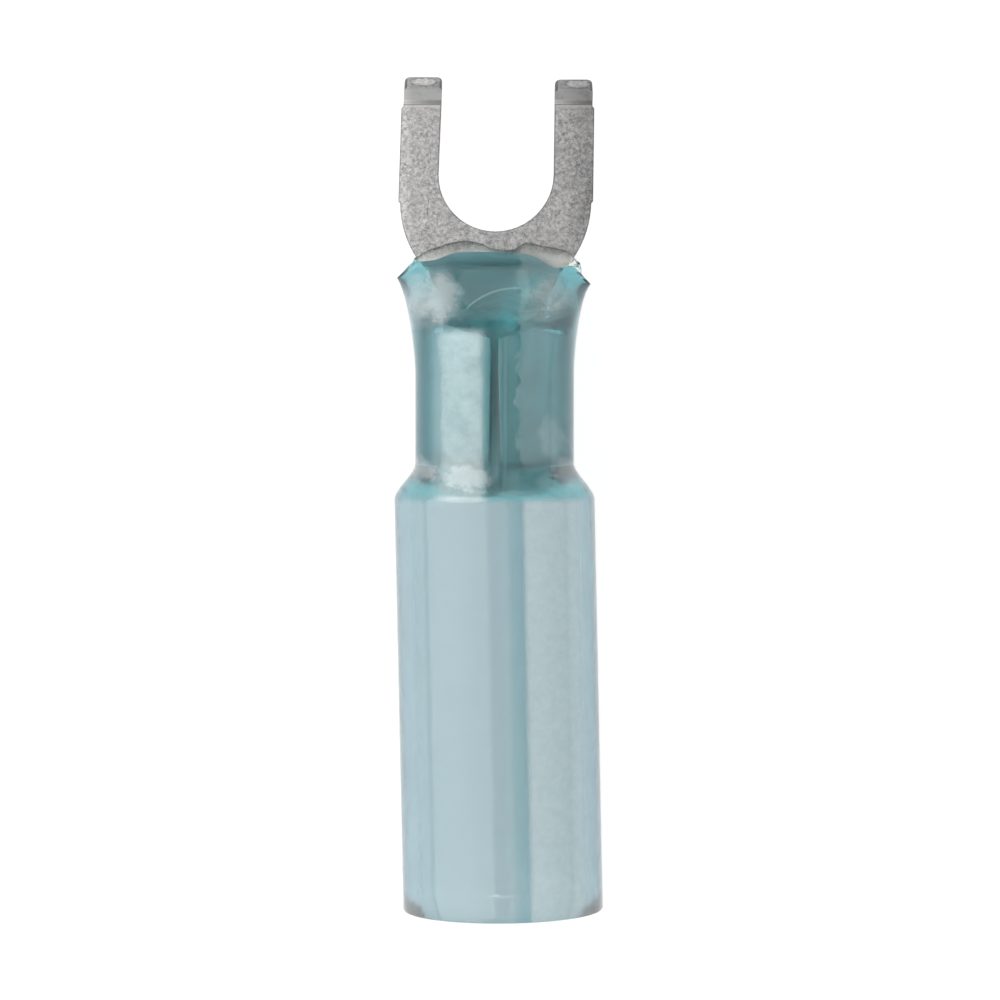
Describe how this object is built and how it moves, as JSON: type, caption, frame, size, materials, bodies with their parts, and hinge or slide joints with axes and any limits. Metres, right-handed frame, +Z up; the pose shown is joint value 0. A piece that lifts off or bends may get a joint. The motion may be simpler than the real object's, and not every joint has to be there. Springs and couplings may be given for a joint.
{
  "type": "fork terminal",
  "caption": "Crimp fork terminal with upturned tips in a translucent blue heat-shrink sleeve with an adhesive lining, for joining a stranded wire to a screw stud.",
  "frame": {"origin": "centre of the bounding box on the surface that the terminal lies on", "axes": "+Y along the barrel towards the fork, +Z up through the barrel's seam and the upturned tips, X across the fork"},
  "size_m": [0.0078, 0.0308, 0.0074],
  "materials": {
    "tinned_copper": "matte tin plate over stamped copper, finely mottled and scratched",
    "blue_jacket": "translucent blue cross-linked polyolefin, satin gloss",
    "hot_melt_adhesive": "clear, slightly yellow hot-melt adhesive"
  },
  "bodies": {
    "root": {"fork_terminal": "tinned_copper", "heat_shrink_sleeve": "blue_jacket", "adhesive_lining": "hot_melt_adhesive"}
  },
  "joints": []
}
